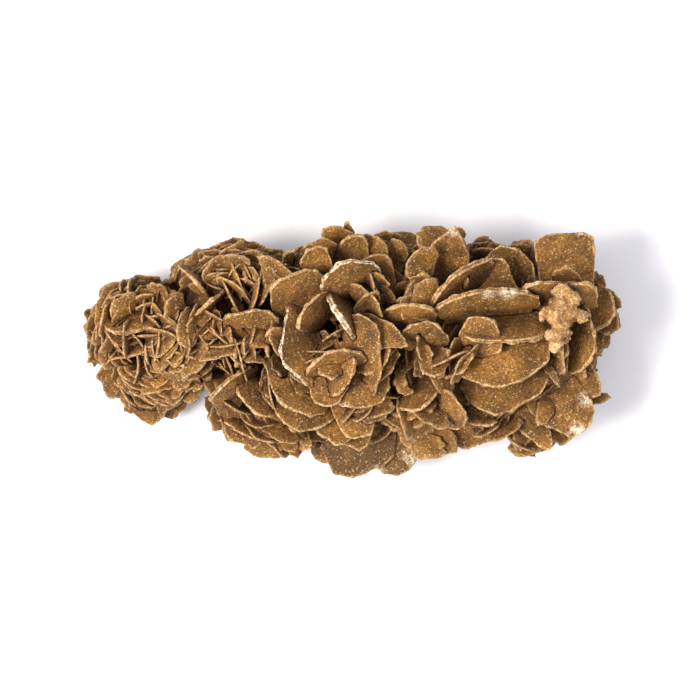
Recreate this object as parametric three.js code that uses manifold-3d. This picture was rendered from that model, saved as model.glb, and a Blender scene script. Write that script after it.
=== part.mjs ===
// A gypsum sand rose: a cluster of roses of lens-shaped gypsum crystals, grown into each other in
// dry sand and lying on its flat-worn underside.
//
// The frame is in millimetres, +Z up. X runs along the cluster, from the fine-bladed rose at its low
// end to the coarse plates at its high end, and Y across it. The origin is at the middle of the
// footprint, on the surface that the cluster lies on.
//
// Every large crystal is a solid of its own. It ends where it met an older crystal, or at the
// intergrown root of its rose. The small crystals of a rose are one solid with that root.
import * as THREE from "three";
import { mergeVertices } from "three/addons/utils/BufferGeometryUtils.js";
import Module from "manifold-3d";

const wasm = await Module();
wasm.setup();

// Driving dimensions, in millimetres.
const SEAM = 0.4; // open seam between two crystals that met as they grew
const RIM = 1.2; // thickness of a large crystal at its worn edge
const BELLY = 3.2; // thickness of a large crystal in its middle
const SMALL_RIM = 0.8;
const SMALL_BELLY = 2.1;
const CURL = 1.2; // how far the edge of a large crystal bends out of its plane
const WAVER = 0.05; // share by which an outline wanders in and out of its ellipse
const LARGE_SIDES = 16; // corners of a large crystal's outline
const SMALL_SIDES = 8;
const DRUSE_SIDES = 6;
const DRUSE_LEAN = 70; // degrees within which druse crystals lean off the straight way out
const FUSE = 0.14; // how far edges may move where slivers are fused away
const GROUND = 400; // side of the block of ground that is cut away below the cluster

// Colours: sandy gypsum, and the crystals that differ from it.
const GYPSUM = 0xa5804d;
const PALE = 0xc4a87a;
const DARK = 0x7c603e;
const SAND = 0xc6a064;
const COLOURS = {
  white_ridge: PALE,
  white_rimmed_blade: PALE,
  pointed_leaf: PALE,
  keel_plate: DARK,
  dark_plate: DARK,
  sand_crust: SAND,
};

// The lens of a crystal: the radius and the height of its profile, as shares of its half sizes.
const LARGE_LENS = [[0, 1], [1, RIM / BELLY]];
const SMALL_LENS = [[0, 1], [1, SMALL_RIM / SMALL_BELLY]];

const GOLDEN_ANGLE = Math.PI * (3 - Math.sqrt(5));
const degrees = THREE.MathUtils.radToDeg;
const radians = THREE.MathUtils.degToRad;

// The roses, in the order in which they grew, for where two of them meet. Each one has:
// - root: lumps of [x, y, z, half length, half width, half height];
// - druse: the spacing of the small crystals that cover the flanks of the root up to a top height,
//   their half length, and how far they stand proud of the lumps;
// - small: crystals that grew before the large ones;
// - large: the named large crystals, oldest first.
// A crystal is [tip x, y, z, heading, climb, roll, half length, half width, taper, corners, girth].
// Taper narrows it towards its tip. Corners is 1 on an ellipse, less on a squarer slab and more on
// a pointed one. Girth multiplies its thickness.
const ROSES = {
  centre: {
    root: [
      [-8, 1, 21, 23, 25, 23],
      [4, 22, 20, 18, 12, 21],
      [-31, -20, 12, 12, 9, 14],
      [4, -25, 11, 16, 9, 14],
    ],
    druse: { spacing: 15, size: 11, proud: 5, top: 38 },
    small: [
      [-7, -9.4, 58, 268, 52, 0, 12, 5.5],
      [9.8, -7, 56, 312, 42, 0, 11, 8.5],
      [13, -7.5, 54, 318, 42, 0, 12, 8.5],
      [-6.3, 6.5, 55, 200, 75, 0, 9, 4],
      [11, -23, 45, 310, 20, 0, 10, 8],
      [-31, -13, 47, 200, 50, 0, 9, 5],
      [9.5, 17, 55, 350, 62, 0, 12, 5.5],
      [3.5, 18.2, 57, 125, 66, 0, 11, 7],
      [9.5, 25.5, 52, 60, 52, 0, 11, 6.5],
      [-26, 8, 50, 110, 50, 0, 7, 5],
      [-18, -14.8, 50, 232, 34, 0, 9, 9],
      [-20, -26.5, 41, 242, 20, 0, 12, 12],
      [-27, -22.5, 41, 232, 24, 0, 12, 9],
      [-26.5, -6, 50, 205, 60, 0, 9, 6],
      [-30, -30, 32, 260, 20, 0, 12, 9],
      [-27, -37, 15, 265, 0, 0, 13, 9],
      [-42.5, -31, 16, 236, 0, 0, 13, 10],
      [-34, -33.6, 22, 248, 8, 0, 12, 7],
      [-49, -23, 12, 205, 0, 0, 13, 7],
      [-18, -36.6, 18, 285, 0, 0, 11, 6],
      [-24, -33.5, 26, 262, 12, 0, 11, 7],
      [-5, 39.2, 33, 95, 22, 0, 12, 5],
      [6, 38.4, 31, 80, 18, 0, 12, 5],
      [12, 37.8, 29, 85, 18, 0, 12, 5],
      [16, 35.2, 38, 100, 48, 0, 12, 4.5],
    ],
    large: {
      white_ridge: [-4.5, 10.6, 60, 212, 76, 0, 12, 10, 0, 1, 1.5],
      white_rimmed_blade: [-3.8, 28.6, 59, 117, 56, 0, 12, 10.5, 0, 1, 1.3],
      cross_blade: [-5, 0, 59, 98, 60, 0, 10, 10.5],
      left_ridge: [-14.8, 15.2, 58, 142, 64, 0, 9, 8],
      upper_panel: [9, 5.5, 57, 15, 34, 0, 9, 8.5],
      side_panel: [0.5, -7.5, 58, 345, 50, 0, 9, 8.5],
      pointed_leaf: [-22.4, -4, 54, 207, 40, 0, 13, 18, 0, 1.5, 1.3],
      brown_shield: [-19.3, 24.8, 55, 112, 48, 0, 13, 10.5],
      tongue: [18, 1.8, 56, 336, 24, 0, 12, 5.4],
      left_shelf: [-9.5, -18, 53, 258, 24, 0, 8, 7],
      lower_disc: [5.5, -18.8, 52, 290, 22, 0, 13, 11.5],
      upper_crescent: [-23.5, -17.5, 49, 230, 30, 0, 14, 14],
      lower_crescent: [-22.5, -23.8, 44, 240, 26, 0, 14, 15],
      lower_leaf: [3.5, -28.3, 43, 290, 14, 0, 11, 6.5],
      fringe_leaf: [-6, -31, 37, 262, 12, 0, 10, 8.5],
      hanging_leaf: [2.5, -33, 33, 285, 8, 0, 10, 8],
      keel_plate: [0.5, -42.2, 21, 264, -4, 0, 17, 13, 0, 0.75],
      dark_plate: [15, -42, 19, 282, -8, 0, 14, 9.5, 0, 0.7],
      gold_disc: [11.5, 31.6, 46, 60, 34, 0, 13, 7],
      crest_disc: [-10.5, 34.4, 50, 80, 36, 0, 11, 5.5],
      crest_leaf: [1, 37.8, 44, 85, 44, 0, 12, 6],
      crest_plate: [-9.5, 37.7, 42, 86, 34, 0, 13, 9],
      back_plate: [-19.5, 33.9, 39, 118, 36, 0, 12, 8],
      spike: [-2.3, 42.9, 32, 105, 14, 0, 12, 3.6, 0.2],
    },
  },
  right: {
    root: [
      [33, 2, 21, 24, 25, 23],
      [62, 4, 20, 18, 24, 23],
    ],
    druse: { spacing: 15, size: 11, proud: 5, top: 38 },
    small: [
      [19, 19, 54, 92, 62, 0, 11, 7],
      [23.5, 25.8, 54, 76, 62, 0, 13, 5],
      [21, 29.6, 49, 100, 52, 0, 13, 6.5],
      [27, 38.9, 37, 112, 38, 0, 13, 6.5],
      [38, 23.5, 54, 0, 80, 0, 14, 3.5],
      [46, 38, 25, 95, 12, 0, 15, 9],
      [57, 37.2, 27, 80, 14, 0, 15, 9],
      [83.6, 22, 26, 20, 10, 0, 12, 6],
      [37.8, -6, 57, 318, 62, 0, 9, 7.5],
      [24.5, -21.8, 46, 305, 38, 0, 9, 8],
      [22, -25.4, 42, 290, 28, 0, 11, 11],
      [21, 1, 56, 190, 66, 0, 9, 5],
      [26.5, -1, 55, 8, 62, 0, 8, 5],
      [31.8, -4.5, 56, 350, 62, 0, 9, 6],
      [27, -8.6, 56, 275, 40, 0, 9, 5],
      [17.5, -15.3, 50, 270, 34, 0, 8, 4],
      [33, -24.3, 42, 270, 24, 0, 10, 7],
      [40.5, -28.5, 38, 262, 12, 0, 12, 4.5],
      [38, -33.2, 22, 270, -4, 0, 14, 10],
      [24, -34.2, 24, 282, 0, 0, 13, 6],
      [49, -30, 34, 280, 16, 0, 11, 6],
      [56, -33.5, 26, 262, 4, 0, 12, 5],
      [62, -36.8, 20, 300, -4, 0, 14, 6],
      [71.5, -31, 26, 290, 5, 0, 12, 6],
      [68.2, -12, 49, 300, 34, 0, 10, 2.2],
      [70, -2.8, 49, 300, 34, 0, 9, 4],
      [90.2, 8, 26, 340, 12, 0, 12, 5],
      [86, 18, 32, 25, 24, 0, 12, 7],
      [70.5, 28.2, 46, 90, 34, 0, 9, 7],
      [21.5, 35, 33, 95, 24, 0, 13, 8],
      [43.6, 34.4, 30, 90, 20, 0, 13, 6],
      [61, -25, 36, 240, 20, 0, 9, 4],
    ],
    large: {
      diagonal_plate: [33.2, 24.6, 57, 130, 69, 0, 12, 12.5, 0, 1, 1.4],
      tall_blade: [34, 41.6, 47, 80, 35, -10, 14, 7.5, 0.35, 1.4, 1.3],
      arched_plate: [20, 15.8, 57, 84, 58, 0, 10, 9.5],
      roof_plate: [24.5, 10, 57, 84, 50, 0, 9, 9],
      long_upper_plate: [44, 19.6, 58, 96, 62, 0, 11, 17, 0, 0.85, 1.3],
      long_back_plate: [67, 22.8, 55, 93, 58, 0, 11, 13, 0, 0.85, 1.2],
      rounded_plate: [46, 10.2, 57.5, 54, 40, 0, 9, 7.5],
      long_lower_plate: [52, 2.7, 57, 273, 56, 0, 9, 17, 0, 0.85, 1.2],
      broad_plate: [54, -10.6, 53, 292, 26, 0, 13, 16.5, 0, 1, 1.2],
      under_plate: [52.5, -19.8, 46, 284, 22, 0, 13, 14, 0, 1, 1.2],
      front_blade: [25.4, -17, 52, 308, 58, 0, 10, 9.5],
      crossing_blade: [34.6, -15.6, 52, 45, 60, 0, 10, 7.5],
      round_disc: [49.5, 30.3, 45, 70, 28, 0, 13, 9],
      back_disc: [53.5, 34.2, 38, 76, 26, 0, 14, 11],
      square_slab: [69.6, 39.4, 36, 96, 12, 0, 13, 9.6, 0, 0.35, 1.3],
      end_plate: [79.6, 5, 49, 2, 58, 0, 13, 11.5],
      pointing_plate: [84.5, 9.5, 40, 322, 46, 0, 12, 9],
      corner_plate: [76.5, -27.4, 35, 304, 8, 0, 16, 10, 0, 0.85],
      side_plate: [82.6, -11, 33, 352, 10, 0, 14, 8],
      lower_right_leaf: [66.5, -32.2, 32, 312, 12, 0, 13, 4.6],
    },
  },
  upper_left: {
    root: [
      [-44, 11, 17, 17, 19, 20],
      [-33, 8, 20, 10, 14, 18],
    ],
    druse: { spacing: 12, size: 9, proud: 4, top: 30 },
    small: [
      [-33, 1.6, 48, 238, 40, 0, 9, 6.5],
      [-39.8, 38.5, 26, 95, 18, 0, 14, 8],
      [-30, 35.2, 25, 78, 14, 0, 14, 7],
      [-23.5, 33, 30, 70, 20, 0, 11, 5],
      [-48.5, 33.4, 30, 108, 24, 0, 11, 6],
      [-56.5, 31, 24, 122, 22, 0, 12, 8],
      [-61, 24.5, 22, 150, 16, 0, 12, 6],
      [-41.5, 35, 34, 98, 40, 0, 11, 7],
      [-41, 32.2, 39, 96, 50, 0, 10, 8],
      [-39.5, 29.4, 43, 84, 58, 0, 9, 7.5],
      [-33, 31.2, 38, 66, 44, 0, 10, 6],
      [-29.5, 28.6, 40, 52, 44, 0, 11, 7],
      [-38.4, 22, 45, 350, 66, 0, 9, 6.5],
      [-34.6, 23.4, 45, 355, 68, 0, 9, 6.5],
      [-31.6, 24, 44, 10, 66, 0, 9, 6],
      [-28.5, 22, 47, 135, 58, 0, 10, 6],
      [-31, 18.6, 47, 120, 56, 0, 9, 5.5],
      [-22, 28.8, 50, 105, 44, 0, 11, 6],
      [-46, 25.6, 44, 70, 72, 0, 9, 5.5],
      [-51, 21.4, 45, 222, 76, 0, 9, 6],
      [-47, 26.6, 42, 118, 66, 0, 9, 6],
      [-58, 14.6, 41, 95, 72, 0, 8, 5],
      [-52.6, 11, 46, 134, 76, 0, 9, 8],
      [-50, 7.6, 46, 132, 74, 0, 9, 8],
      [-46.4, 10.6, 47, 320, 72, 0, 9, 6],
      [-42.4, 9.6, 48, 5, 68, 0, 9, 6],
      [-39.4, 6.8, 48, 12, 72, 0, 9, 5.5],
      [-45, 3.4, 47, 285, 68, 0, 8, 4.5],
      [-35.2, 3, 49, 168, 78, 0, 9, 5.5],
      [-31.4, -0.6, 49, 20, 72, 0, 9, 4.5],
      [-28, -1, 49, 195, 74, 0, 9, 5],
      [-38.6, -1.4, 48, 182, 75, 0, 9, 5],
      [-43.2, -1.4, 46, 172, 70, 0, 9, 5],
      [-46.4, -3.8, 44, 205, 70, 0, 9, 4.5],
      [-38.8, -20.6, 38, 262, 30, 0, 11, 4],
      [-43.6, -18.6, 34, 240, 20, 0, 10, 4],
    ],
    large: {
      bright_ridge: [-48.6, 15.2, 49, 130, 80, 0, 10, 10],
      slanting_ridge: [-52.4, 22.8, 47, 224, 80, 0, 9, 7.5],
      long_shelf: [-33, 13.6, 51, 91, 48, 0, 9, 9.6, 0, 0.8],
      beak_blade: [-41, -8.8, 48, 130, 66, 0, 10, 10.5, 0, 1, 1.3],
      steep_blade: [-34.5, -18, 46, 222, 50, 0, 10, 10],
    },
  },
  left: {
    root: [
      [-73, 9, 11, 14, 12, 15],
      [-57, -2, 13, 10, 9, 18],
      [-61, 10, 12, 9, 10, 16],
    ],
    druse: { spacing: 12, size: 7.5, proud: 3, top: 24 },
    small: [
      [-72, 25.8, 17, 100, 14, 0, 13, 9],
      [-62.5, 24.4, 18, 85, 14, 0, 12, 6],
      [-86, 17.2, 17, 140, 10, 0, 14, 8],
      [-91, 8.4, 15, 175, 5, 0, 13, 8],
      [-88.6, -1.6, 12, 205, 0, 0, 12, 6],
      [-80, 21.6, 22, 125, 24, 0, 11, 6],
      [-74, 22, 28, 110, 44, 0, 9, 7.5],
      [-73.4, 19.2, 31, 106, 56, 0, 9, 6.5],
      [-74, 3.8, 36, 268, 44, 0, 8, 9],
      [-75, 0.4, 32, 265, 38, 0, 9, 9.5],
      [-74.6, -1.6, 29, 268, 32, 0, 9, 9],
      [-78, -4, 25, 258, 24, 0, 9, 6],
      [-65, 18.4, 36, 165, 62, 0, 9, 6.5],
      [-60, 12.6, 40, 318, 66, 0, 9, 7],
      [-59.6, 8.6, 42, 316, 68, 0, 9, 9],
      [-61, 5, 42, 314, 66, 0, 9, 9.5],
      [-61.4, 1.8, 41, 312, 62, 0, 9, 9],
      [-64.6, 10.6, 38, 322, 68, 0, 8, 6],
      [-64, 1.6, 38, 310, 58, 0, 8, 6],
      [-78, 14, 34, 262, 70, 0, 7, 4],
      [-76, 16.4, 34, 30, 78, 0, 7, 4],
      [-77.4, 9.4, 36, 135, 76, 0, 7, 4],
      [-81.6, 11, 32, 205, 66, 0, 7, 6],
      [-83.6, 7.4, 28, 190, 50, 0, 8, 6],
      [-69, 13.4, 37, 200, 74, 0, 7, 4],
      [-53.4, 1.6, 44, 45, 75, 0, 8, 5],
      [-54, -1.2, 43, 70, 70, 0, 8, 6],
      [-55.4, -4.8, 42, 66, 66, 0, 9, 8],
      [-52, -7.4, 40, 300, 64, 0, 8, 5],
      [-58, -8, 38, 62, 68, 0, 8, 5],
      [-71, -6.4, 31, 82, 62, 0, 8, 6],
      [-66, -8.8, 32, 78, 62, 0, 8, 6],
      [-68, -4.4, 33, 96, 66, 0, 8, 6],
      [-61, -2.6, 40, 250, 60, 0, 8, 5],
      [-57.6, -15.6, 29, 276, 34, 0, 12, 6.5],
      [-63, -17.4, 25, 262, 30, 0, 12, 7],
    ],
    large: {
      left_bright_ridge: [-71, 7, 39, 284, 66, 0, 9, 10],
      left_crescent: [-74, 2, 34, 266, 40, 0, 9, 10],
      low_rim: [-53, -11.8, 38, 280, 40, 0, 10, 8.5],
    },
  },
  lower_left: {
    root: [[-68, -11, 8, 11, 10, 12]],
    druse: { spacing: 11, size: 7, proud: 1, top: 20 },
    small: [
      [-83, -9, 17, 186, 8, 0, 12, 7],
      [-80.6, -15, 15, 208, 6, 0, 12, 7],
      [-60.4, -21.4, 12, 292, 6, 0, 13, 6],
      [-68, -18.6, 20, 250, 26, 0, 11, 8],
    ],
    large: {
      lobe_plate: [-71, -24, 12, 254, 0, 0, 12, 10],
    },
  },
};

// Deep pockets between the crystals, as lumps: [x, y, z, half length, half width, half height].
const POCKETS = [
  [-9.6, 7.4, 46, 5, 3.2, 24],
  [-4.2, 3.2, 46, 3.2, 1.8, 20],
  [19.8, -9.2, 44, 2.2, 3.4, 20],
  [55.5, 10.4, 50, 7.5, 1.7, 12],
];

// The sand crust on the high end: knobs of [x, y, z, radius].
const CRUST = [
  [68.5, 19.5, 54.5, 3.4],
  [71.5, 16.6, 54, 3],
  [68, 15.2, 54.5, 3.2],
  [66.4, 11.8, 54.5, 3.6],
  [63.4, 12.2, 53.5, 2.2],
  [70.6, 12.6, 53, 3],
  [74.6, 11.6, 51.5, 3],
  [68, 8.2, 54.5, 3.2],
  [66.4, 5.4, 55, 2.8],
  [66.8, 2.4, 55, 2.4],
  [69, 11, 49.5, 4.4],
  [68.5, 16, 49.5, 4],
  [68.5, 6, 49.5, 4],
];

// A repeatable stream of numbers from 0 to 1.
function stream(seed) {
  let state = seed;
  return () => {
    state = (state + 0x6d2b79f5) | 0;
    let t = Math.imul(state ^ (state >>> 15), 1 | state);
    t = (t + Math.imul(t ^ (t >>> 7), 61 | t)) ^ t;
    return ((t ^ (t >>> 14)) >>> 0) / 4294967296;
  };
}

const vary = stream(36);

// The closed solid of a three.js geometry.
function solidOf(geometry) {
  geometry.deleteAttribute("normal");
  geometry.deleteAttribute("uv");
  const merged = mergeVertices(geometry, 1e-4);
  return new wasm.Manifold(
    new wasm.Mesh({
      numProp: 3,
      vertProperties: merged.getAttribute("position").array,
      triVerts: new Uint32Array(merged.index.array),
    }),
  );
}

// The three.js geometry of a solid.
function geometryOf(solid) {
  const mesh = solid.getMesh();
  const geometry = new THREE.BufferGeometry();
  geometry.setAttribute("position", new THREE.BufferAttribute(mesh.vertProperties, 3));
  geometry.setIndex(new THREE.BufferAttribute(mesh.triVerts, 1));
  return geometry.toNonIndexed();
}

const joined = (solids) => solids.reduce((all, solid) => all.add(solid));
const largest = (solid) =>
  solid
    .decompose()
    .reduce((most, piece) => (piece.volume() > most.volume() ? piece : most));

// The axes of a crystal whose tip points along heading (degrees round from +X) and climb (degrees
// above level): out to its tip, across it, and out of its face. Roll turns it about the first.
function axesOf(heading, climb, roll) {
  const h = radians(heading);
  const c = radians(climb);
  const out = new THREE.Vector3(Math.cos(c) * Math.cos(h), Math.cos(c) * Math.sin(h), Math.sin(c));
  const across = new THREE.Vector3(-Math.sin(h), Math.cos(h), 0);
  across.applyAxisAngle(out, radians(roll));
  return new THREE.Matrix4().makeBasis(out, across, out.clone().cross(across));
}

// A kind of crystal. Every call draws the outline of one more.
function kindOf(profile, belly, curl, sides) {
  return { profile, belly, curl, sides, phases: [vary(), vary()].map((v) => v * 2 * Math.PI) };
}
const largeKind = () => kindOf(LARGE_LENS, BELLY, CURL * (vary() * 2 - 1), LARGE_SIDES);
const smallKind = (sides) => kindOf(SMALL_LENS, SMALL_BELLY, 0, sides);

// One lens-shaped crystal. Spare makes it thicker and larger all round.
function lens([row, kind], spare) {
  const [x, y, z, heading, climb, roll, halfLength, halfWidth, ...form] = row;
  const [taper = 0, corners = 1, girth = 1] = form;
  const { profile, belly, curl, sides, phases } = kind;
  const lower = profile.map(([r, h]) => new THREE.Vector2(r, -h));
  const upper = profile.map(([r, h]) => new THREE.Vector2(r, h)).reverse();
  const geometry = new THREE.LatheGeometry([...lower, ...upper], sides);
  const position = geometry.getAttribute("position");
  const wander = (angle) => Math.sin(3 * angle + phases[0]) + Math.sin(5 * angle + phases[1]);
  const soften = (value) => Math.sign(value) * Math.abs(value) ** corners;
  const point = new THREE.Vector3();
  const place = axesOf(heading, climb, roll).setPosition(x, y, z);
  for (let i = 0; i < position.count; i++) {
    const angle = Math.atan2(position.getX(i), position.getZ(i));
    const waver = 1 + WAVER * (wander(angle) - wander(0));
    const reach = Math.hypot(position.getX(i), position.getZ(i)) * waver;
    const along = soften(Math.cos(angle)) * reach;
    const side = soften(Math.sin(angle)) * reach * (1 - taper * along);
    const height = position.getY(i);
    point.set(
      (halfLength + spare) * along - halfLength,
      (halfWidth + spare) * side,
      (belly / 2) * girth * height + spare * Math.sign(height) + curl * (side ** 2 - 0.6 * along ** 2),
    );
    point.applyMatrix4(place);
    position.setXYZ(i, point.x, point.y, point.z);
  }
  return solidOf(geometry);
}
const lenses = (crystals, spare) => joined(crystals.map((crystal) => lens(crystal, spare)));

// The intergrown root of a rose.
function rootOf(lumps, spare) {
  return joined(
    lumps.map(([x, y, z, rx, ry, rz]) => {
      const lump = new THREE.IcosahedronGeometry(1, 1);
      return solidOf(lump.scale(rx + spare, ry + spare, rz + spare).translate(x, y, z));
    }),
  );
}

// The druse: small crystals, spaced evenly over each lump of a root, that point away from it.
function druseOf(lumps, { spacing, size, proud, top }) {
  const crystals = [];
  for (const [x, y, z, rx, ry, rz] of lumps) {
    const area = (4 / 3) * Math.PI * (rx * ry + ry * rz + rz * rx);
    const count = Math.round(area / spacing ** 2);
    for (let i = 0; i < count; i++) {
      const rise = 1 - (2 * (i + 0.5)) / count;
      const turn = i * GOLDEN_ANGLE;
      const flat = Math.sqrt(1 - rise ** 2);
      const out = proud * (0.7 + 0.6 * vary());
      const row = [
        x + (rx + out) * flat * Math.cos(turn),
        y + (ry + out) * flat * Math.sin(turn),
        z + (rz + out) * rise,
        degrees(turn) + DRUSE_LEAN * (vary() - 0.5),
        degrees(Math.asin(rise)) + DRUSE_LEAN * (vary() - 0.5),
        180 * vary(),
        size,
        size * (0.6 + 0.4 * vary()),
      ];
      if (row[2] > proud / 2 && row[2] < top) crystals.push([row, smallKind(DRUSE_SIDES)]);
    }
  }
  return crystals;
}

// The sand crust.
function crustOf(spare) {
  return joined(
    CRUST.map(([x, y, z, radius]) => {
      const knob = new THREE.IcosahedronGeometry(radius + spare, 1);
      return solidOf(knob.translate(x, y, z));
    }),
  );
}

const ground = solidOf(new THREE.BoxGeometry(GROUND, GROUND, GROUND).translate(0, 0, -GROUND / 2));
const pockets = rootOf(POCKETS, 0);
const roses = Object.entries(ROSES);
const solids = {};

// What the large crystals grew against: every root and every small crystal.
const small = {};
for (const [name, rose] of roses) {
  small[name] = rose.small.map((row) => [row, smallKind(SMALL_SIDES)]);
}
let older = joined(
  roses.map(([name, rose]) => rootOf(rose.root, SEAM).add(lenses(small[name], SEAM))),
);

// The large crystals, each cut by everything older.
const large = [];
for (const [, rose] of roses) {
  for (const [name, row] of Object.entries(rose.large)) {
    const crystal = [row, largeKind()];
    solids[name] = largest(lens(crystal, 0).subtract(older).subtract(ground));
    older = older.add(lens(crystal, SEAM));
    large.push(crystal);
  }
}

// The crust, which settled on the large crystals.
solids.sand_crust = largest(crustOf(0).subtract(older));

// Each rose: its root with the druse that grew between the large crystals, and its small ones.
const taken = lenses(large, SEAM).add(crustOf(SEAM));
let grown = null;
for (const [name, rose] of roses) {
  const druse = druseOf(rose.root, rose.druse);
  const filling = lenses(druse, 0).subtract(taken);
  const root = rootOf(rose.root, 0).add(filling);
  let solid = root.add(lenses(small[name], 0)).subtract(pockets).subtract(ground);
  if (grown) solid = solid.subtract(grown);
  solids[name + "_rose"] = largest(solid);
  const bounds = rootOf(rose.root, SEAM).add(lenses([...small[name], ...druse], SEAM));
  grown = grown ? grown.add(bounds) : bounds;
}

// The group, with the middle of its footprint at the origin.
const cluster = new THREE.Group();
for (const [name, solid] of Object.entries(solids)) {
  const color = new THREE.Color(COLOURS[name] ?? GYPSUM);
  color.offsetHSL(0.012 * (vary() - 0.5), 0, 0.06 * (vary() - 0.5));
  const material = new THREE.MeshStandardMaterial({ color, roughness: 0.85, metalness: 0 });
  const fused = largest(solid.asOriginal().simplify(FUSE));
  const mesh = new THREE.Mesh(geometryOf(fused), material);
  mesh.name = name;
  cluster.add(mesh);
}
const box = new THREE.Box3().setFromObject(cluster);
const middle = box.getCenter(new THREE.Vector3());
for (const mesh of cluster.children) mesh.geometry.translate(-middle.x, -middle.y, -box.min.z);

export default cluster;
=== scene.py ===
# %% [markdown]
# # A gypsum sand rose
# A sand rose is a cluster of gypsum crystals that grew in wet desert sand. Each crystal is a thin
# lens, and each one froze the sand it grew through into its body, so the stone is the brown of
# the sand. Where the thin edge of a lens has lost its sand coat, the paler gypsum shows.
#
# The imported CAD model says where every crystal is. It could be shown as it is, with a bump for
# the wear, but its straight edges would give it away. So each solid is replaced by a worn piece
# made from it, and the cluster is set on a pale floor under soft light.

import itertools
import math

import bpy
import numpy as np
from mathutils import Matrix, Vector
from mathutils.bvhtree import BVHTree


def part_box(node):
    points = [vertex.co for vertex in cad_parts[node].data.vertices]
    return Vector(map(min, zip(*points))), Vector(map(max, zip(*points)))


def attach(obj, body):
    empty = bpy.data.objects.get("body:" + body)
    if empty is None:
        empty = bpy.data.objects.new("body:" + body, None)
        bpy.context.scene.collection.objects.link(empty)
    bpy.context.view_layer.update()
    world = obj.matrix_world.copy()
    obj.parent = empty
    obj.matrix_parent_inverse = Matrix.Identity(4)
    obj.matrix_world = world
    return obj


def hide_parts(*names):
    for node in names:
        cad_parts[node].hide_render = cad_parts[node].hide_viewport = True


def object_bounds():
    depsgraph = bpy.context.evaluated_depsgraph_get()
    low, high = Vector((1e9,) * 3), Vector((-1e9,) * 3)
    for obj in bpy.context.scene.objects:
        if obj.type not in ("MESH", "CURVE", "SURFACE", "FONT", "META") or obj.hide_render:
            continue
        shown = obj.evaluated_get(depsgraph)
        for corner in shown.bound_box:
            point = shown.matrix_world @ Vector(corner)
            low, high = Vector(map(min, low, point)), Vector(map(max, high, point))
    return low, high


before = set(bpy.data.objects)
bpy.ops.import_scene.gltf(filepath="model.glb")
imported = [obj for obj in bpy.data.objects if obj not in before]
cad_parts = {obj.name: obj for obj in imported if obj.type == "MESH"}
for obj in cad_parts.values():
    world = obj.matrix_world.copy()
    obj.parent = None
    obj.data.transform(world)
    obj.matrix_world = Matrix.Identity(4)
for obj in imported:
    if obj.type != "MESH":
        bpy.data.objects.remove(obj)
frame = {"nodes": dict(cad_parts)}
cad_box = [list(corner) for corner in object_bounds()]
nodes = frame["nodes"]
MM = 0.001  # Blender's unit here is the metre
print(len(nodes), "CAD nodes, box in mm:", [[round(v / MM, 1) for v in c] for c in cad_box])

# %% [markdown]
# ## What there is
# Five roses, each a body of many small crystals grown together, carry the large crystals. A crust
# of cemented sand sits on the right end. Most crystals are sandy all through. A few have a pale
# rim, and two at the front are stained dark. One finish for all would look cast, so these three
# sets decide the finish of each solid.

# %% Which solids are pale, dark or crust
ROSES = ["centre_rose", "right_rose", "upper_left_rose", "left_rose", "lower_left_rose"]
PALE = {"white_ridge", "white_rimmed_blade", "pointed_leaf"}
DARK = {"keel_plate", "dark_plate"}
CRUST = {"sand_crust"}


def slot_of(name):
    """The material slot of a CAD node."""
    if name in PALE:
        return "pale_gypsum"
    if name in DARK:
        return "dark_gypsum"
    return "sand_crust" if name in CRUST else "sand_gypsum"


print(len(nodes) - len(ROSES) - len(CRUST), "large crystals")

# %% [markdown]
# ## Colours
# Colours are written as they look on a screen, because that is how a person picks them. Shaders
# work with light, so one function turns every one of them.


# %% Screen colour to light
def colour(text):
    """An sRGB colour such as "c0a070" as linear red, green, blue and alpha."""
    screen = [int(text[i : i + 2], 16) / 255 for i in (0, 2, 4)]
    return (*(v / 12.92 if v <= 0.04045 else ((v + 0.055) / 1.055) ** 2.4 for v in screen), 1.0)


print("sand brown in light:", [round(v, 3) for v in colour("a5804d")])

# %% [markdown]
# ## Noise
# Wear, grains and growth ripples are all smooth random fields in space. Blender's textures could
# give them, but a function of our own works on arrays of points and on values alike. It draws
# from a seeded table, so the stone is the same each time.

# %% Smooth noise in space
TABLE = 32  # cells along each side of the table of random numbers


def noise(points, size, seed):
    """Random values from -1 to 1 that change smoothly over a distance of `size` metres."""
    table = np.random.default_rng(seed).uniform(-1, 1, (TABLE, TABLE, TABLE))
    place = points / size
    cell = np.floor(place).astype(int)
    part = place - cell
    part = part * part * (3 - 2 * part)
    total = np.zeros(len(points))
    for corner in itertools.product((0, 1), repeat=3):
        at = (cell + corner) % TABLE
        weight = np.prod(np.where(corner, part, 1 - part), axis=1)
        total += weight * table[at[:, 0], at[:, 1], at[:, 2]]
    return total


print("noise at three points:", noise(np.eye(3) * 0.01, 0.004, 1).round(2))

# %% [markdown]
# ## Numbers of a mesh
# The surface could be sculpted or shaped with modifiers. Arrays are quick for half a million
# points and can be repeated exactly, so the mesh's numbers are read out, changed and put back.


# %% Read and write a mesh
def vectors(items, key):
    """The vectors that each item of a mesh holds, as an array."""
    flat = np.empty(len(items) * 3, np.float32)
    items.foreach_get(key, flat)
    return flat.reshape(-1, 3).astype(float)


def points_of(mesh):
    """The vertices of a mesh."""
    return vectors(mesh.vertices, "co")


def normals_of(mesh):
    """The vertex normals of a mesh."""
    return vectors(mesh.vertex_normals, "vector")


def edges_of(mesh):
    """The pairs of vertices that edges join."""
    flat = np.empty(len(mesh.edges) * 2, np.int32)
    mesh.edges.foreach_get("vertices", flat)
    return flat.reshape(-1, 2)


def place(mesh, points):
    """Moves the vertices of a mesh."""
    mesh.vertices.foreach_set("co", points.astype(np.float32).ravel())
    mesh.update()


def store(mesh, name, values):
    """Keeps one number per vertex under a name that a material can read."""
    layer = mesh.attributes.new(name, "FLOAT", "POINT")
    layer.data.foreach_set("value", values.astype(np.float32))


print("vertices of the sand crust:", len(points_of(nodes["sand_crust"].data)))


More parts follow.
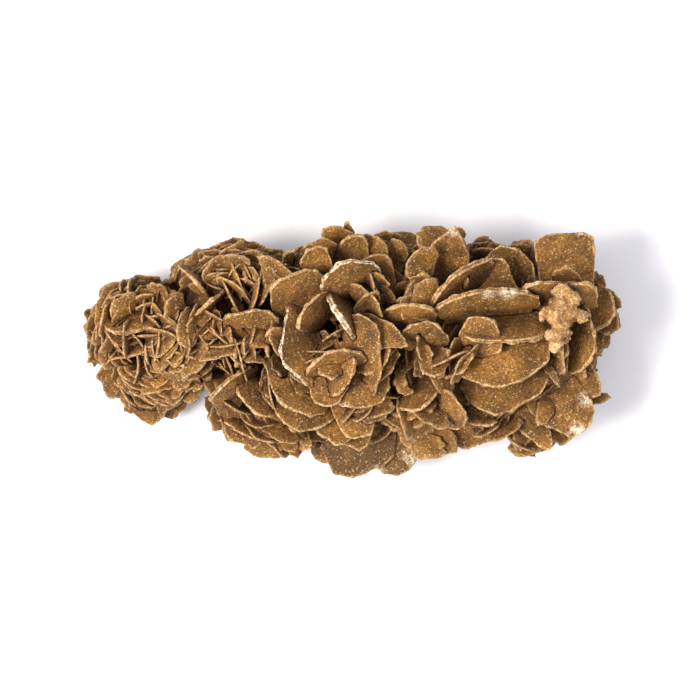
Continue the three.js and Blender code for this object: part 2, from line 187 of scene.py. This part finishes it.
# %% Blur and ramp
def blurred(values, edges, rounds):
    """Values averaged with their neighbours' along the edges, again and again."""
    values = values.reshape(len(values), -1)
    ends = np.concatenate([edges[:, 0], edges[:, 1]])
    others = np.concatenate([edges[:, 1], edges[:, 0]])
    count = np.maximum(np.bincount(ends, minlength=len(values)), 1)[:, None]
    for _ in range(rounds):
        sums = [np.bincount(ends, column[others], len(values)) for column in values.T]
        values = 0.5 * values + 0.5 * np.stack(sums, 1) / count
    return values


def ramp(values, low, high):
    """0 below `low`, 1 above `high`, and a straight line between."""
    return np.clip((values - low) / (high - low), 0, 1)


print("a ramp from 2 to 4:", ramp(np.arange(6), 2, 4))

# %% [markdown]
# ## Where crystals meet
# Where another crystal grows out of one, its crease gets painted shade and a little dirt, and it
# never has a worn edge there. That could be painted by hand on each piece. A search tree of all
# CAD faces, each with the name of its node, finds every joint by itself, because it tells how
# near the next crystal is.

# %% A search tree of every CAD face
corners, faces, owners = [], [], []
for name, node in nodes.items():
    start = len(corners)
    corners += [tuple(v.co) for v in node.data.vertices]
    for polygon in node.data.polygons:
        faces.append([start + i for i in polygon.vertices])
        owners.append(name)
stone = BVHTree.FromPolygons(corners, faces)
print(len(faces), "faces in the tree")

# %% How near the next crystal is
REACH = 1.6 * MM  # how far the painted shade and dirt of a joint spread


def seam(points, name):
    """1 on a joint with another crystal, 0 at REACH and further from any."""
    found = np.zeros(len(points))
    for i, point in enumerate(points):
        hits = stone.find_nearest_range(Vector(point), REACH)
        near = [distance for _, _, face, distance in hits if owners[face] != name]
        if near:
            found[i] = 1 - min(near) / REACH
    return found


print("joint value at the crust's first corners:",
      seam(points_of(nodes["sand_crust"].data)[:3], "sand_crust").round(2))

# %% [markdown]
# ## Deep hollows
# Deep between the crystals the colour is darkened: painted shade for the hollows, with a little
# fine dust and clay. A shader can measure this while it renders, but other programs don't keep
# that. Here each point looks along eight directions and keeps the share of them that is blocked.

# %% How deep a point lies
DEPTH = 15 * MM  # a wall further away than this leaves a point open
CLEAR = 0.35 * MM  # a look starts this far off the surface
TURNED_AND_RAISED = [
    (0.3, 0.6), (1.9, 0.6), (3.4, 0.6), (5.0, 0.6), (1.1, 1.1), (3.2, 1.1), (5.3, 1.1), (0, 1.57)
]  # the heading and the rise of each look, in radians
LOOKS = [
    Vector((math.cos(t) * math.cos(e), math.sin(t) * math.cos(e), math.sin(e)))
    for t, e in TURNED_AND_RAISED
]


def hollow(tree, points, normals):
    """0 where the sky is open, up to 1 where every look is blocked."""
    blocked = np.zeros(len(points))
    starts = points + normals * CLEAR
    for i, start in enumerate(starts):
        start = Vector(start)
        blocked[i] = sum(tree.ray_cast(start, look, DEPTH)[0] is not None for look in LOOKS)
    return blocked / len(LOOKS)


print(len(LOOKS), "looks, each", round(DEPTH / MM), "mm long")

# %% [markdown]
# ## A worn crystal
# A crystal's CAD solid is exact and sharp. A bevel would round its edges but keep them straight.
# The voxel remesh turns the solid into an even net of small quads, whatever its cuts were, and
# rounds its edges a little, as blown sand does. Then noise can move the net.

# %% Remesh one solid
CRYSTAL_NET = 0.42 * MM  # side of a quad on a large crystal
ROSE_NET = 0.65 * MM  # and on a rose, which is mostly hidden by its blades


def remeshed(name, voxel):
    """A CAD node's solid as an even net of quads."""
    piece = bpy.data.objects.new(name + "_stone", nodes[name].data.copy())
    bpy.context.scene.collection.objects.link(piece)
    remesh = piece.modifiers.new("net", "REMESH")
    remesh.mode = "VOXEL"
    remesh.voxel_size = voxel
    shaped = piece.evaluated_get(bpy.context.evaluated_depsgraph_get())
    mesh = bpy.data.meshes.new_from_object(shaped)
    piece.modifiers.clear()
    piece.data = mesh
    mesh.materials.clear()
    return piece


print("nets of", round(CRYSTAL_NET / MM, 2), "and", round(ROSE_NET / MM, 2), "mm")

# %% [markdown]
# The rim is found from the shape itself: where blurring the net moves a point inward, the stone
# stands out there. The faces sink a little so that the rim stays a thin bright line, and they
# swell where they meet another crystal, so that the joint is closed. Slow waves bend the plate,
# tears make its rim ragged, and the grains of sand roughen all of it.

# %% Weather one solid
RIM_BLUR = 1.1 * MM  # how wide the blur is that finds a rim
FACE_SINK = 0.18 * MM
JOINT_SWELL = 0.45 * MM
# Each kind of bump has a spacing and a height in millimetres, and its own seed.
CRUST_KNOBS = [(2.3, 0.9, 7), (1.1, 0.4, 8)]
ROSE_LUMPS = [(5, 0.7, 6), (1.8, 0.35, 9)]
WAVE, TEAR, GRAIN = (6, 0.32, 0), (2.4, 0.55, 1), (0.75, 0.12, 2)


def bumps(points, kind, seed):
    """How far one kind of bump moves each point."""
    spacing, height, own_seed = kind
    return noise(points, spacing * MM, seed + own_seed) * height * MM


def weathered(name, voxel, wear, seed):
    """A worn piece for a CAD node, and its rim and seam values, one per vertex."""
    piece = remeshed(name, voxel)
    mesh = piece.data
    edges = edges_of(mesh)
    points = blurred(points_of(mesh), edges, wear)
    place(mesh, points)
    normals = normals_of(mesh)
    rounds = max(3, round((RIM_BLUR / voxel) ** 2))
    bulge = ((points - blurred(points, edges, rounds)) * normals).sum(1)
    sharpest = np.percentile(bulge, 97)
    rim = ramp(bulge, 0.36 * sharpest, 0.76 * sharpest)
    joint = seam(points, name)
    rim *= 1 - ramp(joint, 0.15, 0.6)

    for kind in CRUST_KNOBS * (name in CRUST) + ROSE_LUMPS * (name in ROSES):
        points = points + normals * bumps(points, kind, seed)[:, None]
    lift = -FACE_SINK * (1 - rim) + JOINT_SWELL * ramp(joint, 0.45, 0.8)
    tear = bumps(points, TEAR, seed) * rim
    move = lift + bumps(points, WAVE, seed) + tear + bumps(points, GRAIN, seed)
    points = points + normals * move[:, None]
    points[:, 2] = np.maximum(points[:, 2], 0)
    place(mesh, points)
    return piece, rim, joint


print("waves of", WAVE[1], "mm, tears of", TEAR[1], "mm, grains of", GRAIN[1], "mm")

# %% [markdown]
# ## Fine blades
# Between its large crystals a sand rose is full of thin blades. Solids for all of them would be
# far too many for the CAD model, and a bump can't cast their shadows, so they are meshes of
# their own. Each blade is a thin lens with a blunt, ragged rim, drawn as rings of points.

# %% The net of one blade
BLADE_SIDES = 22
RINGS = np.array([0.40, 0.72, 0.90, 1.0])  # radius of each ring as a share of the rim's


def blade_faces():
    """Triangles and quads of a lens: a middle point and four rings on each side."""
    found = []
    side = 1 + len(RINGS) * BLADE_SIDES
    for start, flip in ((0, False), (side, True)):
        for i in range(BLADE_SIDES):
            j = (i + 1) % BLADE_SIDES
            first = [start, start + 1 + i, start + 1 + j]
            found.append(first[::-1] if flip else first)
            for ring in range(len(RINGS) - 1):
                a = start + 1 + ring * BLADE_SIDES
                b = a + BLADE_SIDES
                quad = [a + i, b + i, b + j, a + j]
                found.append(quad[::-1] if flip else quad)
    last = 1 + (len(RINGS) - 1) * BLADE_SIDES
    for i in range(BLADE_SIDES):
        j = (i + 1) % BLADE_SIDES
        found.append([last + i, side + last + i, side + last + j, last + j])
    return found


BLADE_FACES = blade_faces()
print(len(BLADE_FACES), "faces in a blade")

# %% The points of one blade
BLADE_RIM = 0.5 * MM  # thickness at the rim
BLADE_BELLY = 1.35 * MM  # thickness in the middle


def blade(rng, middle, along, up, length, height):
    """Points and rim values of one lens of half length `length` and half height `height`."""
    along = along / np.linalg.norm(along)
    up = up - along * (up @ along)
    up = up / np.linalg.norm(up)
    across = np.cross(along, up)
    angle = np.arange(BLADE_SIDES) / BLADE_SIDES * 2 * math.pi
    ragged = 1 + 0.05 * rng.normal(size=BLADE_SIDES)
    for turns in (2, 3, 5):
        ragged += 0.05 * rng.normal() * np.cos(turns * angle + rng.uniform(0, 6.3))
    share = np.concatenate([[0], np.repeat(RINGS, BLADE_SIDES)])
    turn = np.concatenate([[0], np.tile(angle, len(RINGS))])
    reach = share * np.concatenate([[1], np.tile(ragged, len(RINGS))])
    x = length * reach * np.cos(turn)
    y = height * reach * np.sin(turn)
    half = (BLADE_RIM + (BLADE_BELLY - BLADE_RIM) * (1 - share**2)) / 2
    bend = rng.normal(0, 0.10) * x**2 / length + rng.normal(0, 0.12) * x * y / length
    flat = middle + x[:, None] * along + y[:, None] * up
    front = flat + (bend + half)[:, None] * across
    back = flat + (bend - half)[:, None] * across
    bright = np.interp(share, [0, 0.75, 0.90, 1], [0, 0.0, 0.3, 0.7])
    return np.concatenate([front, back]), np.concatenate([bright, bright])


print("a blade is", round(BLADE_BELLY / MM, 2), "mm thick")

# %% [markdown]
# ## Where a blade may grow
# The blades could be scattered evenly by a modifier. In the real rose they keep their distance,
# leave the deep pockets open and don't hide the large crystals. So their places are drawn one by
# one, and a blade that would hang in the air or lie over a large crystal is dropped.

# %% Places that keep their distance, and a test of each blade
UP, DOWN = Vector((0, 0, 1)), Vector((0, 0, -1))
MARGIN = 0.4 * MM  # how far a blade may stand out of the CAD model's box
POCKET = 9 * MM  # a drop of more than this under a blade is a pocket


def spread(points, gap, rng):
    """Indices of points, taken at random, that keep `gap` from each other."""
    kept = np.empty((0, 3))
    chosen = []
    for i in rng.permutation(len(points)):
        if not len(kept) or ((kept - points[i]) ** 2).sum(1).min() > gap**2:
            kept = np.vstack([kept, points[i]])
            chosen.append(i)
    return chosen


def rooted(points, on_top):
    """True where a blade stays in the CAD box and covers no pocket, floor or large crystal."""
    low, high = np.array(cad_box[0]), np.array(cad_box[1])
    if (points.min(0) < low - MARGIN).any() or (points.max(0) > high + MARGIN).any():
        return False
    ring = points[1 + 3 * BLADE_SIDES : 1 + 4 * BLADE_SIDES : 2]
    loose = covering = 0
    for point in map(Vector, ring):
        _, normal, face, drop = stone.ray_cast(point, DOWN)
        if drop is None:
            loose += stone.ray_cast(point, UP)[0] is None
        elif on_top and normal.z > 0:
            loose += drop > POCKET
            covering += owners[face] not in ROSES
    return loose < 0.45 * len(ring) and covering < 0.3 * len(ring)


print("three of five points that keep apart:",
      len(spread(np.eye(5)[:, :3], 0.5, np.random.default_rng(1))))

# %% [markdown]
# ## Petals
# Seen from above, the blades lie round the middle of their rose like petals: upright in the
# middle, leaning out towards its edge, and almost side by side with their neighbours. Low on the
# flanks they are fewer and larger, and lie every way. A heading round the rose, a lean that
# grows outward and some noise on both give that order and its disorder.

# %% Sow blades on a rose
TURNS = [0, 0, 0, 0.9, -0.9, 1.5]  # radians: most blades lie along the ring, some cross it
FLANK = 0.45  # share of a rose's height that is its flank
BARE_FLANK = 0.35  # share of the places on a flank that stay empty
TOP_LEAN, EDGE_LEAN, FLANK_LEAN = 12, 56, 15  # degrees off upright, added up outward


def petals(name, points, normals, gap, sizes, seed):
    """Blades that lie round a rose like petals, sunk in its surface."""
    rng = np.random.default_rng(seed)
    low, high = (np.array(corner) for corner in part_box(name))
    core = (low + high) / 2
    reach = (high - low)[:2] / 2
    parts = []
    for i in spread(points, gap, rng):
        point, normal = points[i], normals[i]
        on_flank = point[2] < low[2] + FLANK * (high[2] - low[2])
        if on_flank and rng.random() < BARE_FLANK:
            continue
        flat = np.array([point[0] - core[0], point[1] - core[1], 0])
        far = min(1.2, math.hypot(flat[0] / reach[0], flat[1] / reach[1]))
        out = flat / max(np.linalg.norm(flat), 1 * MM)
        ring = np.cross((0, 0, 1), out)
        cross = rng.choice(TURNS) * max(0, 1 - far**2)
        swing = 0.9 * noise(point[None], 9 * MM, seed)[0] + cross + rng.normal(0, 0.2)
        along = ring * math.cos(swing) + out * math.sin(swing)
        along = along + np.array([0, 0, rng.normal(0, 0.4 if on_flank else 0.18)])
        lean = TOP_LEAN + EDGE_LEAN * far + FLANK_LEAN * on_flank
        lean = math.radians(lean + rng.normal(0, 22 if on_flank else 13))
        up = np.array([0, 0, math.cos(lean)]) + out * math.sin(lean) + 0.35 * normal
        length = rng.uniform(sizes[0], sizes[1]) * MM * (1.2 if on_flank else 1)
        height = rng.uniform(0.45, 0.75) * length
        middle = point - up / np.linalg.norm(up) * height * rng.uniform(0.2, 0.55)
        part = blade(rng, middle, along, up, length, height)
        if rooted(part[0], not on_flank):
            parts.append(part)
    return parts


print("a blade at the edge of a rose leans", TOP_LEAN + EDGE_LEAN, "degrees")


# %% Join blades to their rose
def joined(piece, rim, joint, parts, seed):
    """Adds blades to a piece's mesh and returns the rim and seam values of it all."""
    mesh = piece.data
    old = points_of(mesh)
    quads = [list(polygon.vertices) for polygon in mesh.polygons]
    rows, rims = [old], [rim]
    start = len(old)
    for part, bright in parts:
        rows.append(part)
        rims.append(bright)
        quads += [[start + i for i in face] for face in BLADE_FACES]
        start += len(part)
    points, rim = np.concatenate(rows), np.concatenate(rims)
    fresh = np.arange(len(points)) >= len(old)
    rough = np.stack([noise(points, 0.9 * MM, seed + axis) for axis in range(3)], 1)
    points += fresh[:, None] * 0.12 * MM * rough
    points[:, 2] = np.maximum(points[:, 2], 0)
    mesh = bpy.data.meshes.new(piece.name)
    mesh.from_pydata(points.tolist(), [], quads)
    piece.data = mesh
    return rim, np.concatenate([joint, np.zeros(fresh.sum())])


print("each blade adds", len(BLADE_FACES), "faces to its rose")

# %% [markdown]
# ## The stone
# Gypsum with sand inside is matt, rough and speckled. The eye reads it from three things: the
# pale worn rims against the darker faces, the mottle of a centimetre or so, and the single grains
# of sand. Scanned textures would show all this too, but they would need unwrapping and would
# stretch on so many thin plates. Patterns in space fit every plate without a seam.


# %% Nodes of a material
def add(tree, kind, inputs=None, **settings):
    """Adds a shader node, with its settings and with its inputs wired or set."""
    node = tree.nodes.new("ShaderNode" + kind)
    for key, value in settings.items():
        setattr(node, key, value)
    for key, value in (inputs or {}).items():
        if isinstance(value, bpy.types.NodeSocket):
            tree.links.new(value, node.inputs[key])
        else:
            node.inputs[key].default_value = value
    return node


def mixed(tree, factor, first, second, blend="MIX"):
    """A colour between two others."""
    node = add(tree, "Mix", {0: factor, 6: first, 7: second}, data_type="RGBA", blend_type=blend)
    return node.outputs[2]


def between(tree, value, low, high, to_low=0.0, to_high=1.0):
    """A number spread from one range to another and held inside it."""
    limits = {"Value": value, "From Min": low, "From Max": high}
    limits |= {"To Min": to_low, "To Max": to_high}
    return add(tree, "MapRange", limits).outputs["Result"]


def times(tree, first, second):
    """The product of two numbers."""
    return add(tree, "Math", {0: first, 1: second}, operation="MULTIPLY").outputs[0]


print("rim pale in light:", [round(v, 3) for v in colour("d0ab7a")])

# %% The pattern of the sand
GRAIN_SIZE = 0.40 * MM  # medium desert sand
PATCH_SIZE = 1.6 * MM  # chips along a worn rim
MOTTLE_SIZE = 9 * MM  # sandier and cleaner parts of a plate
SHADED, LIT = (0.42, 0.40, 0.36, 1), (1.44, 1.44, 1.44, 1)  # the darkest and the lightest grain
GLINT = colour("d8c09a")  # painted highlight: a grain of clear quartz catching the light, painted into the colour
# Painted shade: the first darkens creases where crystals meet, with a little dirt; the second deep
# hollows, with a little dust.
JOINT_SHADE_AND_DIRT, HOLLOW_SHADE_AND_DUST = (0.66, 0.58, 0.50, 1), (0.30, 0.18, 0.07, 1)
UNDARKENED = (1, 1, 1, 1)


def patterns(tree):
    """The mottle, the patches and the single grains, as numbers from 0 to 1."""
    where = add(tree, "TexCoord").outputs["Object"]
    mottle = add(tree, "TexNoise", {"Vector": where, "Scale": 1 / MOTTLE_SIZE, "Detail": 4.0})
    patch = add(tree, "TexNoise", {"Vector": where, "Scale": 1 / PATCH_SIZE, "Detail": 3.0})
    grains = add(tree, "TexVoronoi", {"Vector": where, "Scale": 1 / GRAIN_SIZE})
    grain = add(tree, "SeparateColor", {0: grains.outputs["Color"]}).outputs[0]
    return mottle.outputs[0], patch.outputs[0], grain


def kept(tree, name):
    """One of the numbers that each vertex keeps."""
    return add(tree, "Attribute", attribute_name=name).outputs["Fac"]


print("grains of", round(GRAIN_SIZE / MM, 2), "mm")


# %% Gypsum
def stone_colour(tree, mottle, patch, grain, hollow, face, rim, frost):
    """The colour: patterns, wear, and painted shade with some dirt in joints and deep hollows."""
    shade = mixed(tree, between(tree, mottle, 0.35, 0.68), colour(hollow), colour(face))
    worn = times(tree, kept(tree, "rim"), between(tree, patch, 0.28, 0.60, 0.25, 0.9))
    shade = mixed(tree, worn, shade, colour(rim))
    white = times(tree, kept(tree, "frost"), between(tree, patch, 0.38, 0.52))
    shade = mixed(tree, white, shade, colour(frost))
    shade = mixed(tree, 1.0, shade, mixed(tree, grain, SHADED, LIT), "MULTIPLY")
    # Painted highlight: the palest grains become glints painted into the colour.
    shade = mixed(tree, between(tree, grain, 0.93, 0.97, 0.0, 0.45), shade, GLINT)
    # Painted shade, with a little dirt, darkens the creases where crystals meet.
    joint_shade_and_dirt = mixed(tree, kept(tree, "seam"), UNDARKENED, JOINT_SHADE_AND_DIRT)
    shade = mixed(tree, 1.0, shade, joint_shade_and_dirt, "MULTIPLY")
    # Painted shade, with a little dust, darkens the deep hollows.
    hollow_shade_and_dust = mixed(tree, between(tree, kept(tree, "deep"), 0.2, 1.0), UNDARKENED, HOLLOW_SHADE_AND_DUST)
    return mixed(tree, 1.0, shade, hollow_shade_and_dust, "MULTIPLY")


def gypsum(name, hollow, face, rim, frost):
    """Gypsum with sand in it: the colours of its hollows, faces, rims and clean patches."""
    material = bpy.data.materials.new(name)
    material.use_nodes = True
    tree = material.node_tree
    tree.nodes.clear()
    mottle, patch, grain = patterns(tree)
    base = stone_colour(tree, mottle, patch, grain, hollow, face, rim, frost)
    height = add(tree, "Math", {0: grain, 1: patch}, operation="ADD").outputs[0]
    bump = add(tree, "Bump", {"Strength": 0.55, "Distance": 0.22 * MM, "Height": height})
    # Gypsum's IOR is 1.52. Sand in its surface scatters the gloss, so it is nearly matt.
    surface = {"Base Color": base, "Roughness": 0.82, "IOR": 1.52, "Normal": bump.outputs[0]}
    shader = add(tree, "BsdfPrincipled", surface)
    add(tree, "OutputMaterial", {"Surface": shader.outputs[0]})
    return material


stones = {
    # Crystals full of desert sand: warm brown all through, with rims worn to straw.
    "sand_gypsum": gypsum("sand_included_gypsum", "62400c", "966725", "d0ab7a", "dccbb0"),
    # The last crystals to grow had less sand left: the same brown, with sugary white rims.
    "pale_gypsum": gypsum("pale_rimmed_gypsum", "62400c", "936525", "d4b487", "e0d0b4"),
    # Crystals that grew in the clay of the bed: darker and duller, bruised white in places.
    "dark_gypsum": gypsum("matrix_stained_gypsum", "563a14", "7d5728", "b48c58", "dccbb0"),
    # Sand grains held together by a little gypsum: golden, knobby and paler than any crystal.
    "sand_crust": gypsum("cemented_sand", "875f30", "b98c55", "d8b380", "dccbb0"),
}
print("materials:", [material.name for material in stones.values()])

# %% [markdown]
# ## White patches
# In a few places the gypsum has grown clean, without sand, or has been bruised white. A mask
# painted by hand would need an image. Each patch here is a ball in space, given by a crystal, a
# place in that crystal's box as shares of its sides, and a radius in millimetres.

# %% Where the gypsum is white
FROST = [
    ("tall_blade", (0.55, 0.95, 0.95), 4.5),
    ("dark_plate", (0.98, 0.26, 0.4), 6.0),
    ("dark_plate", (0.9, 0.6, 0.5), 4.0),
    ("dark_plate", (0.2, 0.05, 0.3), 4.0),
    ("lower_disc", (0.24, 0.07, 0.8), 2.5),
    ("long_upper_plate", (0.68, 0.8, 0.95), 4.0),
    ("long_upper_plate", (0.5, 0.72, 0.95), 3.0),
    ("long_upper_plate", (0.9, 0.97, 0.9), 3.0),
    ("corner_plate", (0.86, 0.61, 0.8), 3.5),
    ("corner_plate", (0.75, 0.1, 0.9), 4.0),
]


def frost(points, rim, name):
    """How clean and white the gypsum is at each point."""
    found = np.zeros(len(points))
    if name in PALE:
        low, high = (corner[2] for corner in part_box(name))
        near_rim = np.clip(rim * 2.5, 0, 1)
        height = high - low
        found = near_rim * ramp(points[:, 2], low + 0.3 * height, low + 0.6 * height)
    for node, share, radius in FROST:
        low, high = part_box(node)
        middle = np.array([a + (b - a) * s for a, b, s in zip(low, high, share)])
        distance = np.linalg.norm(points - middle, axis=1)
        found = np.maximum(found, ramp(-distance, -radius * MM, 0) * 1.3)
    return np.clip(found, 0, 1)


print(len(FROST), "white patches and", len(PALE), "white rims")

# %% [markdown]
# ## All pieces
# Every CAD solid gets its worn piece, which takes its place. The roses also get their petals,
# closer and finer on the left ones. A rose and its blades are one piece, as they are one stone.

# %% How dense the blades are
# For each rose: the gap between blades, and their smallest and largest half length, in mm.
PETALS = {
    "centre_rose": (4.4, (4.0, 8.0)),
    "right_rose": (5.0, (4.0, 8.5)),
    "upper_left_rose": (3.0, (2.6, 8.0)),
    "left_rose": (2.8, (2.2, 7.0)),
    "lower_left_rose": (3.8, (3.0, 6.5)),
}
FOOT = 3 * MM  # no blades below this height


def ground_for(name, piece, joint):
    """The points of a rose where blades may grow, and their normals."""
    points, normals = points_of(piece.data), normals_of(piece.data)
    free = (joint == 0) & (points[:, 2] > FOOT)
    flank = points[:, 2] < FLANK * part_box(name)[1].z
    open_side = np.flatnonzero(free & (normals[:, 2] > np.where(flank, -0.75, -0.2)))
    deep = hollow(stone, points[open_side], normals[open_side])
    open_side = open_side[(deep < 0.55) | flank[open_side]]
    return points[open_side], normals[open_side]


print("gaps between blades in mm:", [gap for gap, _ in PETALS.values()])

# %% Make every piece
pieces = []
blades = 0
for count, name in enumerate(nodes):
    seed = 10 * count
    if name in ROSES:
        piece, rim, joint = weathered(name, ROSE_NET, 4, seed)
        gap, sizes = PETALS[name]
        parts = petals(name, *ground_for(name, piece, joint), gap * MM, sizes, seed + 5)
        rim, joint = joined(piece, rim * 0.8, joint, parts, seed)
        blades += len(parts)
    else:
        piece, rim, joint = weathered(name, CRYSTAL_NET, 1, seed)
    pieces.append((name, piece, rim, joint))
print(blades, "blades,", sum(len(piece.data.polygons) for _, piece, _, _ in pieces), "faces in all")

# %% [markdown]
# ## Finish
# The finished pieces, blades and all, hide each other from the sky. A second search tree holds
# them as they are now, every point learns how deep it lies, and each piece gets its stone and
# takes its place in the frame.

# %% A search tree of every piece
corners, faces = [], []
for _, piece, _, _ in pieces:
    start = len(corners)
    corners += points_of(piece.data).tolist()
    faces += [[start + i for i in polygon.vertices] for polygon in piece.data.polygons]
everything = BVHTree.FromPolygons(corners, faces)
print(len(corners), "points in the tree")

# %% Finish every piece
for name, piece, rim, joint in pieces:
    mesh = piece.data
    points, normals = points_of(mesh), normals_of(mesh)
    # How deep a point lies sets its painted shade.
    deep = blurred(hollow(everything, points, normals), edges_of(mesh), 2)[:, 0]
    store(mesh, "rim", rim)
    store(mesh, "seam", joint)
    store(mesh, "deep", deep)
    store(mesh, "frost", frost(points, rim, name))
    mesh.polygons.foreach_set("use_smooth", [True] * len(mesh.polygons))
    mesh.materials.append(stones[slot_of(name)])
    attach(piece, "root")
    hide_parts(name)
print(len(pieces), "pieces")

# %% [markdown]
# ## Floor, light and camera
# The cluster lies on white card and is seen from straight above. One soft lamp from the lower
# left gives the plates their shape and a short shadow, and a bright even sky keeps the card
# white. A dome image would light it as well, but would add reflections that matt stone doesn't
# need. A camera high up with a long lens shows the plates without leaning them outward.

# %% A floor of white card
FLOOR = 4  # half of its side, in metres
floor_mesh = bpy.data.meshes.new("floor")
floor_corners = [(-FLOOR, -FLOOR, 0), (FLOOR, -FLOOR, 0), (FLOOR, FLOOR, 0), (-FLOOR, FLOOR, 0)]
floor_mesh.from_pydata(floor_corners, [], [(0, 1, 2, 3)])
floor = bpy.data.objects.new("floor", floor_mesh)
bpy.context.scene.collection.objects.link(floor)
card = bpy.data.materials.new("white_card")  # uncoated card: white, even and without gloss
card.use_nodes = True
card_shader = card.node_tree.nodes["Principled BSDF"]
card_shader.inputs["Base Color"].default_value = colour("f2f1f4")
card_shader.inputs["Roughness"].default_value = 0.9
floor_mesh.materials.append(card)
print("floor:", 2 * FLOOR, "m square")


# %% Lamps and sky
def lamp(name, place_at, size, power, tint):
    """A square soft light that points at the cluster."""
    data = bpy.data.lights.new(name, "AREA")
    data.size = size
    data.energy = power
    data.color = colour(tint)[:3]
    light = bpy.data.objects.new(name, data)
    light.location = place_at
    light.rotation_euler = (-Vector(place_at)).to_track_quat("-Z", "Y").to_euler()
    bpy.context.scene.collection.objects.link(light)


lamp("key", (-1.05, -0.25, 1.55), 0.7, 47, "fff8ee")
lamp("fill", (1.4, -1.2, 1.6), 1.6, 8, "f0f2ff")
world = bpy.data.worlds.new("studio")
world.use_nodes = True
sky = world.node_tree.nodes["Background"]
sky.inputs["Color"].default_value = colour("f6f6fa")
sky.inputs["Strength"].default_value = 0.95
bpy.context.scene.world = world
bpy.context.scene.view_settings.view_transform = "Standard"
print(len(bpy.data.lights), "lamps")

# %% Camera
FRAME_WIDTH = 233.3 * MM  # how much of the table the picture shows at the height of the plates
PLATES = 25 * MM
HEIGHT = 1.5
SENSOR = 36
camera_data = bpy.data.cameras.new("camera")
camera_data.sensor_width = SENSOR
camera_data.lens = SENSOR * (HEIGHT - PLATES) / FRAME_WIDTH
camera_data.clip_start = 0.01
camera = bpy.data.objects.new("camera", camera_data)
camera.location = (-0.3 * MM, -0.2 * MM, HEIGHT)
bpy.context.scene.collection.objects.link(camera)
bpy.context.scene.camera = camera
print("lens:", round(camera_data.lens), "mm")
